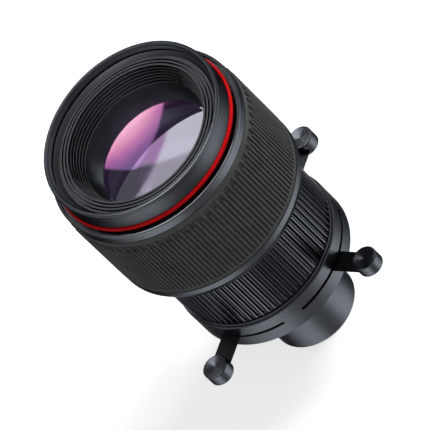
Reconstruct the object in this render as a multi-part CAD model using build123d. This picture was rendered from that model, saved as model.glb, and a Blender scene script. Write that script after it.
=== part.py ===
from build123d import *
import os
from math import asin, cos, degrees, radians, sin, sqrt

os.makedirs("parts", exist_ok=True)

# All sizes are in millimetres. The optical axis is Z, the rear face of the spigot is at zero and the
# front opening looks along +Z. Shutter 1 points along +X and the others follow a quarter turn apart.

# Clearances
seat_gap = 0.04
running_gap = 0.06
free_gap = 0.3
end_play = 0.15

# Rear spigot and the field lens inside it
spigot_radius = 19.35
spigot_wall = 1.6
spigot_length = 35.3
spigot_chamfer = 0.6
spigot_inner_chamfer = 0.3
spigot_neck_step = 0.35
spigot_relief = 0.4
spigot_collar_width = 3.65
spigot_collar_thickness = 1.5
field_seat_setback = 3.3
field_seat_ledge = 2.0
field_lens_rim = 2.0
field_lens_bulge = 4.2
field_ring_height = 2.2
spanner_notch_width = 1.6
spanner_notch_depth = 0.75

# Shutter housing, a cup that takes the foot of the main barrel
barrel_radius = 33.5
housing_step = 1.7
housing_wall = 2.0
housing_floor = 3.0
housing_edge = 0.45
housing_hole_edge = 0.5
slot_height = 1.45
slot_rise = 7.4
slot_bridge = 14.0
shutter_count = 4

# Gate plates and the posts between them
track_width = 5.4
track_height = 4.0
gate_gap = 1.36
aperture_radius = 12.0
aperture_land = 0.6
rear_bevel_width = 3.0
front_bevel_width = 5.5
front_plate_thickness = 3.6
post_radius = 1.5
post_inset = 2.6
gate_screw_radius = 0.8
gate_screw_head_radius = 1.45
gate_screw_head_height = 0.8
gate_screw_bite = 2.2

# Shutter blades, their guide shoes and their knobs
blade_thickness = 0.26
blade_pitch = 0.34
blade_width = 27.0
blade_margin = 0.4
blade_corner = 0.8
blade_shoulder_width = 12.0
lever_width = 9.0
lever_reach = 15.8
lever_inset = 0.1
shoe_cheek = 0.88
shoe_inset = 0.8
knob_radius = 5.5
knob_length = 6.3
knob_rear_drop = 2.5
knob_edge = 0.35
knob_dish = 0.35
knob_screw_radius = 0.9
knob_screw_head_radius = 1.9
knob_screw_reach = 2.2
screw_socket_radius = 0.6
screw_socket_depth = 0.7

# Fixed main barrel
barrel_wall = 2.4
barrel_seat_length = 2.32
barrel_front_gap = 3.5
barrel_foot_setback = 0.9
barrel_foot_thickness = 1.0
barrel_foot_chamfer = 0.35
divider_thickness = 1.0
divider_width = 2.46
retainer_thickness = 2.0
retainer_width = 2.66

# Zoom ring with its cam sleeve, and the zoom cell that the cam drives
zoom_ring_wall = 0.6
zoom_ring_length = 35.6
zoom_rib_count = 80
zoom_rib_height = 0.95
zoom_step_height = 0.55
zoom_collar_length = 1.2
zoom_step_setback = 1.9
zoom_crest_base = 0.40
zoom_crest_top = 0.30
zoom_step_place = 0.48
zoom_step_base = 0.28
zoom_step_top = 0.22
cam_sleeve_wall = 1.35
zoom_travel = 14.0
zoom_turn = 60.0
follower_count = 3
follower_radius = 1.6
follower_bite = 2.2
follower_rest_rise = 10.5
follower_phase = 60.0
zoom_cell_length = 17.0
zoom_cell_tail = 5.7
zoom_cell_wall = 4.4
zoom_lens_rim = 3.0
zoom_lens_front_bulge = 3.2
zoom_lens_rear_bulge = 1.6
zoom_lens_ring_height = 2.4
zoom_cell_ledge = 1.8
zoom_cell_ledge_height = 2.6

# Focus ring with its rubber sleeve
focus_overlap = 1.45
focus_ring_length = 50.8
focus_band_step = 1.69
focus_band_length = 6.4
focus_band_taper_length = 3.6
focus_band_taper = 1.8
focus_web_thickness = 4.6
focus_shell_wall = 3.0
shoulder_step = 1.14
shoulder_length = 4.3
shoulder_rim_width = 1.1
shoulder_rim_land = 0.2
shoulder_recess_depth = 1.8
rubber_plain_height = 1.35
rubber_floor_height = 0.75
rubber_crest_height = 1.8
rubber_rib_count = 72
rubber_rib_phase = 2.25
rubber_rib_base = 0.30
rubber_rib_top = 0.20
rubber_front_border = 2.75
rubber_rear_border = 1.9
rubber_notch_length = 3.0

# Front barrel that the focus ring moves
front_reach = 11.2
skirt_gap = 3.1
skirt_wall = 2.65
skirt_length = 19.6
band_step = 0.95
band_rise = 2.3
lip_step = 0.1
lip_length = 1.6
lip_round = 0.75
lip_groove = 0.35
lip_wall = 1.9
thread_chamfer = 0.5
thread_depth = 3.6
thread_relief = 0.3
thread_relief_height = 0.5
key_count = 3
key_phase = 34.0
key_width = 4.0
key_length = 8.0
key_depth = 1.0
key_setback = 1.0
red_ring_step = 0.8
red_ring_round = 0.7

# Baffle ring in the front opening
baffle_seat_step = 0.5
baffle_seat_depth = 3.4
baffle_rim_width = 1.85
baffle_tube_wall = 1.2
baffle_dish_depth = 1.4
baffle_land_drop = 0.3
baffle_groove_count = 3
baffle_groove_width = 0.62
baffle_first_groove_width = 1.05
baffle_land_width = 0.85
baffle_groove_depth = 0.75
baffle_step_count = 6
baffle_step_depth = 1.25

# Lens cell with the front lens and the second lens behind it
cell_recess = 5.0
cell_flange_width = 3.0
cell_flange_thickness = 1.6
cell_ledge_thickness = 1.6
sleeve_clearance = 0.1
sleeve_wall = 2.05
sleeve_tail = 2.2
front_seat_depth = 15.6
front_seat_ledge = 2.1
front_lens_rim = 5.5
front_lens_land = 3.25
front_lens_hollow = 3.0
front_lens_rear_bulge = 1.5
inner_seat_drop = 15.0
inner_stop_ledge = 4.75
inner_stop_height = 2.6
inner_lens_wall = 3.6
inner_lens_rim = 3.2
inner_lens_front_bulge = 4.4
inner_lens_rear_bulge = 0.8
inner_ring_height = 2.0

# Radii from the barrel outwards and inwards
spigot_neck_radius = spigot_radius - spigot_neck_step
spigot_collar_radius = spigot_radius + spigot_collar_width
housing_bore = barrel_radius + housing_step
housing_radius = housing_bore + housing_wall
gate_radius = housing_bore - track_width
post_circle_radius = housing_bore - post_inset
rear_bevel_radius = aperture_radius + rear_bevel_width
front_bevel_radius = aperture_radius + front_bevel_width
barrel_bore = barrel_radius - barrel_wall
barrel_foot_radius = housing_radius - barrel_foot_setback
divider_radius = barrel_radius + seat_gap + divider_width
retainer_radius = barrel_radius + seat_gap + retainer_width
cam_sleeve_radius = barrel_radius + running_gap + cam_sleeve_wall
zoom_floor_radius = cam_sleeve_radius + seat_gap + zoom_ring_wall
zoom_ring_radius = zoom_floor_radius + zoom_rib_height
skirt_bore = barrel_radius + skirt_gap
helicoid_radius = skirt_bore + skirt_wall
helicoid_bore = helicoid_radius + running_gap
shell_radius = helicoid_bore + focus_shell_wall
focus_band_radius = shell_radius + focus_band_step
shoulder_radius = shell_radius + shoulder_step
band_radius = helicoid_radius + band_step
lip_radius = band_radius + lip_step
thread_radius = band_radius - lip_wall
red_ring_radius = band_radius + red_ring_step
sleeve_radius = barrel_bore - sleeve_clearance
sleeve_bore = sleeve_radius - sleeve_wall
inner_lens_bore = sleeve_bore - inner_lens_wall
inner_stop_radius = inner_lens_bore - inner_stop_ledge
cell_flange_radius = sleeve_radius + cell_flange_width
baffle_seat_radius = thread_radius - baffle_seat_step
baffle_dish_radius = baffle_seat_radius - baffle_rim_width
baffle_bore_radius = sleeve_bore - running_gap - baffle_tube_wall
front_lens_mouth = sleeve_bore - front_lens_land

# Stations along the axis, from the rear face to the front
field_seat_height = spigot_length - field_seat_setback
housing_rear = spigot_length
housing_floor_top = housing_rear + housing_floor
slot_middle = housing_rear + slot_rise
gate_low = slot_middle - gate_gap / 2
gate_high = slot_middle + gate_gap / 2
track_low = slot_middle - track_height / 2
track_high = slot_middle + track_height / 2
gate_front = gate_high + front_plate_thickness
housing_front = gate_front + barrel_seat_length
barrel_base = housing_front + barrel_foot_thickness
zoom_rear = barrel_base + end_play
zoom_front = zoom_rear + zoom_ring_length
divider_rear = zoom_front + end_play
divider_front = divider_rear + divider_thickness
web_rear = divider_front + end_play
web_front = web_rear + focus_web_thickness
retainer_rear = web_front + end_play
focus_rear = zoom_front - focus_overlap
focus_front = focus_rear + focus_ring_length
rubber_rear = focus_rear + focus_band_length
rubber_front = focus_front - shoulder_length
skirt_rear = focus_front + free_gap - skirt_length
band_rear = focus_front + band_rise
front_height = focus_front + front_reach
lip_rear = front_height - lip_length
thread_floor = front_height - thread_depth
baffle_seat_height = thread_floor - baffle_seat_depth
cell_front = baffle_seat_height - cell_recess
cell_flange_rear = cell_front - cell_flange_thickness
cell_ledge_rear = cell_flange_rear - cell_ledge_thickness
barrel_front = cell_ledge_rear - barrel_front_gap
front_seat_height = cell_front - front_seat_depth
inner_seat_height = front_seat_height - inner_seat_drop
inner_ring_front = inner_seat_height - inner_lens_rim
sleeve_rear = inner_ring_front - inner_ring_height - sleeve_tail
knob_distance = housing_radius + lever_reach
lever_end = sqrt(knob_radius**2 - (lever_width / 2) ** 2) - lever_inset
follower_rest = barrel_base + follower_rest_rise
zoom_cell_rear = follower_rest - zoom_cell_tail
zoom_lens_seat = zoom_cell_rear + zoom_cell_ledge_height

EXTRA = 1.0


def turned(*points):
    """Solid of revolution about the optical axis from (radius, height) corners."""
    outline = Polyline(*[(r, 0, z) for r, z in points], close=True)
    return revolve(make_face(outline), Axis.Z)


def ring(outer, inner, low, high):
    """Plain turned ring."""
    return turned((inner, low), (outer, low), (outer, high), (inner, high))


def disc(radius, low, high):
    """Plain turned disc or pin on the optical axis."""
    return Pos(0, 0, (low + high) / 2) * Cylinder(radius, high - low)


def rim(solid, radius, height):
    """Circular edges of a solid at one radius and height."""
    near = 1e-3
    found = [
        edge
        for edge in solid.edges().filter_by(GeomType.CIRCLE)
        if abs(edge.radius - radius) < near and abs(edge.center(CenterOf.MASS).Z - height) < near
    ]
    return found


def sector(outer, inner, low, high, span, middle=0.0):
    """Part of a ring that covers an angle about a middle direction."""
    outline = Polyline((inner, 0, low), (outer, 0, low), (outer, 0, high), (inner, 0, high), close=True)
    swept = revolve(make_face(outline), Axis.Z, revolution_arc=span)
    return Rot(0, 0, middle - span / 2) * swept


def around(count, phase=0.0):
    """Angles of a round pattern."""
    return [phase + 360.0 * i / count for i in range(count)]


def block(low_x, high_x, width, low, high):
    """Box that lies along the radius at +X."""
    length = high_x - low_x
    return Pos((low_x + high_x) / 2, 0, (low + high) / 2) * Box(length, width, high - low)


def lens(radius, low, high, rear_bulge, front_bulge):
    """Glass element with a cylinder rim and two spherical faces."""
    rear = ThreePointArc(*[(r, 0, low - cap(radius, rear_bulge, r)) for r in (0, radius / 2, radius)])
    side = Line((radius, 0, low), (radius, 0, high))
    front = ThreePointArc(*[(r, 0, high + cap(radius, front_bulge, r)) for r in (radius, radius / 2, 0)])
    axis = Line((0, 0, high + front_bulge), (0, 0, low - rear_bulge))
    return revolve(make_face([rear, side, front, axis]), Axis.Z)


def cap(radius, bulge, at):
    """Height of a spherical cap above its rim, at a distance from the axis."""
    sphere = (radius**2 + bulge**2) / (2 * bulge)
    return sqrt(sphere**2 - at**2) - (sphere - bulge)


def toothed(floor_radius, teeth, period_count, phase):
    """Face of a toothed outline. Each tooth is (middle, base, crest, crest radius), as parts of a period."""
    period = 360.0 / period_count
    points = []
    for start in around(period_count, phase):
        for middle, base, crest, crest_radius in teeth:
            centre = start + middle * period
            for offset, radius in (
                (-base / 2, floor_radius),
                (-crest / 2, crest_radius),
                (crest / 2, crest_radius),
                (base / 2, floor_radius),
            ):
                angle = radians(centre + offset * period)
                points.append((radius * cos(angle), radius * sin(angle)))
    return make_face(Polyline(*points, close=True))


def spanner_notches(outer, inner, low, high):
    """Two opposite notches for a pin spanner."""
    return [Rot(0, 0, a) * block(inner - EXTRA, outer + EXTRA, spanner_notch_width, low, high) for a in (0, 180)]


def rear_tube():
    """Spigot that plugs into the light source, with a collar behind the gate and a lens seat."""
    bore = spigot_radius - spigot_wall
    collar_front = housing_floor_top + spigot_collar_thickness
    tube = turned(
        (bore, 0),
        (spigot_radius, 0),
        (spigot_radius, housing_rear - spigot_relief),
        (spigot_neck_radius, housing_rear - spigot_relief),
        (spigot_neck_radius, housing_floor_top),
        (spigot_collar_radius, housing_floor_top),
        (spigot_collar_radius, collar_front),
        (bore - field_seat_ledge, collar_front),
        (bore - field_seat_ledge, field_seat_height),
        (bore, field_seat_height),
    )
    tube = chamfer(rim(tube, spigot_radius, 0), spigot_chamfer)
    return chamfer(rim(tube, bore, 0), spigot_inner_chamfer)


def field_lens():
    """Rear lens, flat towards the gate."""
    radius = spigot_radius - spigot_wall - seat_gap
    low = field_seat_height - field_lens_rim
    rear = ThreePointArc(*[(r, 0, low - cap(radius, field_lens_bulge, r)) for r in (0, radius / 2, radius)])
    rest = Polyline((radius, 0, low), (radius, 0, field_seat_height), (0, 0, field_seat_height))
    axis = Line((0, 0, field_seat_height), (0, 0, low - field_lens_bulge))
    return revolve(make_face([rear, rest, axis]), Axis.Z)


def field_lens_ring():
    """Threaded ring that holds the field lens."""
    outer = spigot_radius - spigot_wall - seat_gap
    inner = outer - field_seat_ledge
    high = field_seat_height - field_lens_rim
    sphere_edge = high - cap(outer, field_lens_bulge, inner) - seat_gap
    low = high - field_ring_height
    body = turned((inner, low), (outer, low), (outer, high), (inner, sphere_edge))
    for notch in spanner_notches(outer, inner, low - EXTRA, low + spanner_notch_depth):
        body -= notch
    return body


def shutter_housing():
    """Cup with a bored floor and one long slot for each shutter lever."""
    hole = spigot_neck_radius + seat_gap
    cup = turned(
        (hole, housing_rear),
        (housing_radius, housing_rear),
        (housing_radius, housing_front),
        (housing_bore, housing_front),
        (housing_bore, housing_floor_top),
        (hole, housing_floor_top),
    )
    cup = chamfer(rim(cup, housing_radius, housing_rear) + rim(cup, housing_radius, housing_front), housing_edge)
    cup = chamfer(rim(cup, hole, housing_rear), housing_hole_edge)
    low = slot_middle - slot_height / 2
    high = slot_middle + slot_height / 2
    slot_span = 360.0 / shutter_count - slot_bridge
    for angle in around(shutter_count):
        cup -= sector(housing_radius + EXTRA, housing_bore - EXTRA, low, high, slot_span, angle)
    for angle in post_angles():
        bore = disc(gate_screw_radius + seat_gap, housing_floor_top - gate_screw_bite, housing_floor_top + EXTRA)
        cup -= Rot(0, 0, angle) * Pos(post_circle_radius, 0, 0) * bore
    return cup


def post_angles():
    """Directions halfway between the shutters."""
    return around(shutter_count, 180.0 / shutter_count)


def rear_gate_plate():
    """Plate behind the blades, with the lower half of the shoe track round its edge."""
    low = housing_floor_top
    outer = housing_bore - seat_gap
    collar = spigot_collar_radius + seat_gap
    collar_top = low + spigot_collar_thickness + seat_gap
    plate = turned(
        (collar, low),
        (outer, low),
        (outer, track_low),
        (gate_radius, track_low),
        (gate_radius, gate_low),
        (aperture_radius, gate_low),
        (aperture_radius, gate_low - aperture_land),
        (rear_bevel_radius, collar_top),
        (collar, collar_top),
    )
    return plate - screw_holes(low, track_low)


def screw_holes(low, high):
    """Clearance holes for the gate screws."""
    hole = disc(gate_screw_radius + seat_gap, low - EXTRA, high + EXTRA)
    return [Rot(0, 0, angle) * Pos(post_circle_radius, 0, 0) * hole for angle in post_angles()]


def front_gate_plate():
    """Plate in front of the blades, with the upper half of the shoe track round its edge."""
    outer = housing_bore - seat_gap
    plate = turned(
        (aperture_radius, gate_high),
        (gate_radius, gate_high),
        (gate_radius, track_high),
        (outer, track_high),
        (outer, gate_front),
        (front_bevel_radius, gate_front),
        (aperture_radius, gate_high + aperture_land),
    )
    plate -= screw_holes(track_high, gate_front)
    for angle in post_angles():
        plate -= Rot(0, 0, angle) * Pos(post_circle_radius, 0, 0) * screw_head(gate_front, seat_gap)
    return plate


def screw_head(top, gap):
    """Countersunk head of a gate screw, grown by a gap."""
    low = top - gate_screw_head_height - gap
    return turned(
        (0, low),
        (gate_screw_radius + gap, low),
        (gate_screw_head_radius + gap, top),
        (0, top),
    )


def gate_posts():
    """Spacer tubes that hold the two plates apart and stop the shoes."""
    post = ring(post_radius, gate_screw_radius + seat_gap, track_low, track_high)
    return Compound([Rot(0, 0, angle) * Pos(post_circle_radius, 0, 0) * post for angle in post_angles()])


def gate_screws():
    """Screws through the front plate, posts and rear plate into the housing floor."""
    low = housing_floor_top - gate_screw_bite + seat_gap
    screw = disc(gate_screw_radius, low, gate_front - gate_screw_head_height / 2)
    screw += screw_head(gate_front, 0.0)
    screw -= socket(gate_front, 1)
    return Compound([Rot(0, 0, angle) * Pos(post_circle_radius, 0, 0) * screw for angle in post_angles()])


def socket(face, side):
    """Hexagon socket in a screw head. Side is 1 for a head that looks forward and -1 for one to the rear."""
    hexagon = Pos(0, 0, face) * RegularPolygon(screw_socket_radius, 6)
    return extrude(hexagon, amount=-side * screw_socket_depth)


def blade_height(index):
    """Middle height of a blade: each lies in its own layer of the gate."""
    return slot_middle + (index - (shutter_count - 1) / 2) * blade_pitch


def shutter_shoe(index):
    """Shoe that swings in the track and lets its blade slide through."""
    inner = gate_radius + shoe_inset
    outer = housing_bore - free_gap
    low = track_low + running_gap
    high = track_high - running_gap
    half_angle = degrees(asin((lever_width / 2 + seat_gap + shoe_cheek) / inner))
    shoe = sector(outer, inner, low, high, 2 * half_angle)
    middle = blade_height(index)
    half = blade_thickness / 2 + seat_gap
    shoe -= block(inner - EXTRA, outer + EXTRA, lever_width + 2 * seat_gap, middle - half, middle + half)
    return Rot(0, 0, 360.0 * index / shutter_count) * shoe


def shutter_blade(index):
    """Sheet blade with a straight beam edge, a stop shoulder and a lever that ends in the knob."""
    edge = aperture_radius + blade_margin
    reach = gate_radius - free_gap
    back = sqrt(reach**2 - (blade_width / 2) ** 2)
    stop = sqrt(reach**2 - (blade_shoulder_width / 2) ** 2)
    tip = knob_distance + lever_end
    outline = Polyline(
        (edge, -blade_width / 2),
        (back, -blade_width / 2),
        (stop, -blade_shoulder_width / 2),
        (stop, -lever_width / 2),
        (tip, -lever_width / 2),
        (tip, lever_width / 2),
        (stop, lever_width / 2),
        (stop, blade_shoulder_width / 2),
        (back, blade_width / 2),
        (edge, blade_width / 2),
        close=True,
    )
    low = blade_height(index) - blade_thickness / 2
    blade = Pos(0, 0, low) * extrude(make_face(outline), amount=blade_thickness)
    corners = [e for e in blade.edges().filter_by(Axis.Z) if e.center().X < edge + EXTRA]
    blade = fillet(corners, blade_corner)
    blade -= Pos(knob_distance, 0, 0) * disc(knob_screw_radius + seat_gap, low - EXTRA, low + EXTRA)
    return Rot(0, 0, 360.0 * index / shutter_count) * blade


def shutter_knob(index):
    """Turned knob with a slit for the lever and a screw hole from behind."""
    rear = slot_middle - knob_rear_drop
    front = rear + knob_length
    knob = disc(knob_radius, rear, front)
    knob = chamfer(rim(knob, knob_radius, rear) + rim(knob, knob_radius, front), knob_edge)
    face_radius = knob_radius - 2 * knob_edge
    knob -= turned((0, front - knob_dish), (face_radius, front), (face_radius, front + EXTRA), (0, front + EXTRA))
    middle = blade_height(index)
    half = blade_thickness / 2 + seat_gap
    slit_end = lever_end + seat_gap
    knob -= block(-knob_radius - EXTRA, slit_end, lever_width + 2 * seat_gap, middle - half, middle + half)
    knob -= disc(knob_screw_radius + seat_gap, rear - EXTRA, slot_middle + knob_screw_reach + seat_gap)
    knob -= knob_screw_head(rear, seat_gap)
    return Rot(0, 0, 360.0 * index / shutter_count) * Pos(knob_distance, 0, 0) * knob


def knob_screw_head(rear, gap):
    """Countersunk head in the rear face of a knob, grown by a gap."""
    height = knob_screw_head_radius - knob_screw_radius
    return turned(
        (0, rear),
        (knob_screw_head_radius + gap, rear),
        (knob_screw_radius + gap, rear + height),
        (0, rear + height),
    )


def knob_screw(index):
    """Screw that clamps the lever in its knob."""
    rear = slot_middle - knob_rear_drop
    screw = disc(knob_screw_radius, rear + seat_gap, slot_middle + knob_screw_reach)
    screw += knob_screw_head(rear, 0.0)
    screw -= socket(rear, -1)
    return Rot(0, 0, 360.0 * index / shutter_count) * Pos(knob_distance, 0, 0) * screw


def main_barrel():
    """Fixed tube with a foot on the housing and straight slots for the cam followers."""
    tube = turned(
        (barrel_bore, gate_front),
        (housing_bore - seat_gap, gate_front),
        (housing_bore - seat_gap, housing_front),
        (barrel_foot_radius, housing_front),
        (barrel_foot_radius, barrel_base),
        (barrel_radius, barrel_base),
        (barrel_radius, barrel_front),
        (barrel_bore, barrel_front),
    )
    tube = chamfer(rim(tube, barrel_foot_radius, barrel_base), barrel_foot_chamfer)
    half = follower_radius + running_gap
    for angle in around(follower_count, follower_phase):
        slot = block(barrel_bore - EXTRA, barrel_radius + EXTRA, 2 * half, follower_rest, follower_rest + zoom_travel)
        for height in (follower_rest, follower_rest + zoom_travel):
            slot += Pos(barrel_radius - barrel_wall / 2, 0, height) * Rot(0, 90, 0) * Cylinder(
                half, barrel_wall + 2 * EXTRA
            )
        tube -= Rot(0, 0, angle) * slot
    return tube


def divider_ring():
    """Ring on the barrel between the zoom ring and the focus ring."""
    return ring(divider_radius, barrel_radius + seat_gap, divider_rear, divider_front)


def retaining_ring():
    """Threaded ring that holds the focus ring on the barrel."""
    front = retainer_rear + retainer_thickness
    body = ring(retainer_radius, barrel_radius + seat_gap, retainer_rear, front)
    for notch in spanner_notches(retainer_radius, barrel_radius, front - spanner_notch_depth, front + EXTRA):
        body -= notch
    return body


def guide_keys():
    """Keys on the barrel that keep the front barrel from turning."""
    high = barrel_front - key_setback
    low = high - key_length
    outer = skirt_bore + key_depth - running_gap
    key = block(barrel_radius - EXTRA, outer, key_width, low, high)
    key -= disc(barrel_radius + seat_gap, low - EXTRA, high + EXTRA)
    return Compound([Rot(0, 0, angle) * key for angle in around(key_count, key_phase)])


def zoom_ring():
    """Metal ring with long crests and lower, shorter steps between them."""
    inner = cam_sleeve_radius + seat_gap
    floor = zoom_floor_radius
    step = floor + zoom_step_height
    crest_tooth = (0.0, zoom_crest_base, zoom_crest_top, zoom_ring_radius)
    step_tooth = (zoom_step_place, zoom_step_base, zoom_step_top, step)
    rib_rear = zoom_rear + zoom_collar_length
    step_rear = rib_rear + zoom_step_setback
    both = extrude(toothed(floor, (crest_tooth, step_tooth), zoom_rib_count, 0.0), amount=zoom_front - step_rear)
    crests = extrude(toothed(floor, (crest_tooth,), zoom_rib_count, 0.0), amount=step_rear - rib_rear)
    body = Pos(0, 0, step_rear) * both + Pos(0, 0, rib_rear) * crests
    body += disc(floor - seat_gap, zoom_rear, rib_rear)
    return body - disc(inner, zoom_rear - EXTRA, zoom_front + EXTRA)


def cam_sleeve():
    """Sleeve inside the zoom ring with one helical slot for each follower."""
    inner = barrel_radius + running_gap
    sleeve = ring(cam_sleeve_radius, inner, zoom_rear, zoom_front)
    middle = (inner + cam_sleeve_radius) / 2
    depth = cam_sleeve_wall + 2 * EXTRA
    width = 2 * (follower_radius + running_gap)
    pitch = zoom_travel * 360.0 / zoom_turn
    path = Helix(pitch=pitch, height=zoom_travel, radius=middle, lefthand=True)
    start = Plane(origin=path @ 0, x_dir=(1, 0, 0), z_dir=path % 0)
    cuts = [sweep(start * Rectangle(depth, width), path=path, is_frenet=True)]
    for turn, height in ((0.0, 0.0), (-zoom_turn, zoom_travel)):
        cuts.append(Rot(0, 0, turn) * Pos(middle, 0, height) * Rot(0, 90, 0) * Cylinder(width / 2, depth))
    for angle in around(follower_count, follower_phase):
        for cut in cuts:
            sleeve -= Rot(0, 0, angle) * Pos(0, 0, follower_rest) * cut
    return sleeve


def follower_pins():
    """Pins on the zoom cell that reach through the barrel into the cam sleeve."""
    outer = cam_sleeve_radius - running_gap
    inner = barrel_bore - running_gap - follower_bite
    pin = Pos((inner + outer) / 2, 0, follower_rest) * Rot(0, 90, 0) * Cylinder(follower_radius, outer - inner)
    return Compound([Rot(0, 0, angle) * pin for angle in around(follower_count, follower_phase)])


def zoom_cell():
    """Sliding cell for the rear lens group."""
    outer = barrel_bore - running_gap
    bore = outer - zoom_cell_wall
    low = zoom_cell_rear
    high = low + zoom_cell_length
    ledge = bore - zoom_cell_ledge
    seat = zoom_lens_seat
    cell = turned(
        (ledge, low),
        (outer, low),
        (outer, high),
        (bore, high),
        (bore, seat),
        (ledge, seat - cap(bore, zoom_lens_rear_bulge, ledge) - seat_gap),
    )
    inner = outer - follower_bite - seat_gap
    hole_length = follower_bite + seat_gap + EXTRA
    hole = Pos(inner + hole_length / 2, 0, follower_rest) * Rot(0, 90, 0) * Cylinder(
        follower_radius + seat_gap, hole_length
    )
    for angle in around(follower_count, follower_phase):
        cell -= Rot(0, 0, angle) * hole
    return cell


def zoom_lens():
    """Biconvex lens in the zoom cell."""
    radius = barrel_bore - running_gap - zoom_cell_wall - seat_gap
    return lens(radius, zoom_lens_seat, zoom_lens_seat + zoom_lens_rim, zoom_lens_rear_bulge, zoom_lens_front_bulge)


def zoom_lens_ring():
    """Threaded ring that holds the zoom lens."""
    outer = barrel_bore - running_gap - zoom_cell_wall - seat_gap
    inner = outer - zoom_cell_ledge
    low = zoom_lens_seat + zoom_lens_rim
    high = low + zoom_lens_ring_height
    inner_low = low + cap(outer, zoom_lens_front_bulge, inner) + seat_gap
    body = turned((inner, inner_low), (outer, low), (outer, high), (inner, high))
    for notch in spanner_notches(outer, inner, high - spanner_notch_depth, high + EXTRA):
        body -= notch
    return body


def focus_ring():
    """Shell that carries the rubber sleeve, with a smooth shoulder in front and a band behind."""
    bore = zoom_ring_radius + free_gap
    shell = turned(
        (bore, focus_rear),
        (focus_band_radius - focus_band_taper, focus_rear),
        (focus_band_radius, focus_rear + focus_band_taper_length),
        (focus_band_radius, rubber_rear),
        (shell_radius, rubber_rear),
        (shell_radius, rubber_front),
        (shoulder_radius, rubber_front),
        (shoulder_radius, focus_front),
        (shoulder_radius - shoulder_rim_width, focus_front),
        (shoulder_radius - shoulder_rim_width, focus_front - shoulder_recess_depth),
        (helicoid_bore, focus_front - shoulder_recess_depth),
        (helicoid_bore, web_front),
        (barrel_radius + running_gap, web_front),
        (barrel_radius + running_gap, web_rear),
        (bore, web_rear),
    )
    return fillet(rim(shell, shoulder_radius, focus_front), shoulder_rim_width - shoulder_rim_land)


def rubber_grip():
    """Rubber sleeve with long and short ribs in turn and a plain border at each end."""
    inner = shell_radius
    floor = inner + rubber_floor_height
    crest = inner + rubber_crest_height
    plain = inner + rubber_plain_height
    rib_rear = rubber_rear + rubber_rear_border
    rib_front = rubber_front - rubber_front_border
    notch = rib_front - rubber_notch_length
    long_tooth = (0.0, rubber_rib_base, rubber_rib_top, crest)
    short_tooth = (0.5, rubber_rib_base, rubber_rib_top, crest)
    phase = rubber_rib_phase
    both = extrude(toothed(floor, (long_tooth, short_tooth), rubber_rib_count, phase), amount=notch - rib_rear)
    longs = extrude(toothed(floor, (long_tooth,), rubber_rib_count, phase), amount=rib_front - notch)
    body = Pos(0, 0, rib_rear) * both + Pos(0, 0, notch) * longs
    body += disc(plain, rubber_rear + seat_gap, rib_rear)
    body += disc(plain, rib_front, rubber_front - seat_gap)
    return body - disc(inner, rubber_rear - EXTRA, rubber_front + EXTRA)


def front_barrel():
    """Outer barrel: a helicoid skirt, the smooth band with its threaded mouth and a web for the lens cell."""
    body = turned(
        (sleeve_radius + seat_gap, cell_ledge_rear),
        (skirt_bore, cell_ledge_rear),
        (skirt_bore, skirt_rear),
        (helicoid_radius, skirt_rear),
        (helicoid_radius, band_rear),
        (band_radius, band_rear),
        (band_radius, lip_rear),
        (band_radius - lip_groove, lip_rear),
        (band_radius - lip_groove, lip_rear + lip_groove),
        (lip_radius, lip_rear + lip_groove),
        (lip_radius, front_height),
        (thread_radius, front_height),
        (thread_radius, thread_floor + thread_relief_height),
        (thread_radius + thread_relief, thread_floor + thread_relief_height),
        (thread_radius + thread_relief, thread_floor),
        (baffle_seat_radius + seat_gap, thread_floor),
        (baffle_seat_radius + seat_gap, baffle_seat_height),
        (cell_flange_radius + seat_gap, baffle_seat_height),
        (cell_flange_radius + seat_gap, cell_flange_rear),
        (sleeve_radius + seat_gap, cell_flange_rear),
    )
    body = fillet(rim(body, lip_radius, front_height), lip_round)
    body = chamfer(rim(body, thread_radius, front_height), thread_chamfer)
    for angle in around(key_count, key_phase):
        width = key_width + 2 * running_gap
        way = block(skirt_bore - EXTRA, skirt_bore + key_depth, width, skirt_rear - EXTRA, cell_ledge_rear)
        body -= Rot(0, 0, angle) * way
    return body


def lens_cell():
    """Sleeve that hangs by its flange in the front barrel and holds the front lens and the second lens."""
    seat_bore = sleeve_bore - front_seat_ledge
    stop_rise = cap(inner_lens_bore, inner_lens_front_bulge, inner_stop_radius)
    return turned(
        (inner_lens_bore, sleeve_rear),
        (sleeve_radius, sleeve_rear),
        (sleeve_radius, cell_flange_rear),
        (cell_flange_radius, cell_flange_rear),
        (cell_flange_radius, cell_front),
        (sleeve_bore, cell_front),
        (sleeve_bore, front_seat_height),
        (seat_bore, front_seat_height - cap(sleeve_bore, front_lens_rear_bulge, seat_bore) - seat_gap),
        (inner_stop_radius, inner_seat_height + inner_stop_height),
        (inner_stop_radius, inner_seat_height + stop_rise + seat_gap),
        (inner_lens_bore, inner_seat_height + seat_gap),
    )


def red_ring():
    """Thin coloured ring behind the smooth front band."""
    inner = helicoid_radius + seat_gap
    low = focus_front + free_gap
    high = band_rear
    body = ring(red_ring_radius, inner, low, high)
    return fillet(rim(body, red_ring_radius, low) + rim(body, red_ring_radius, high), red_ring_round)


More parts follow.
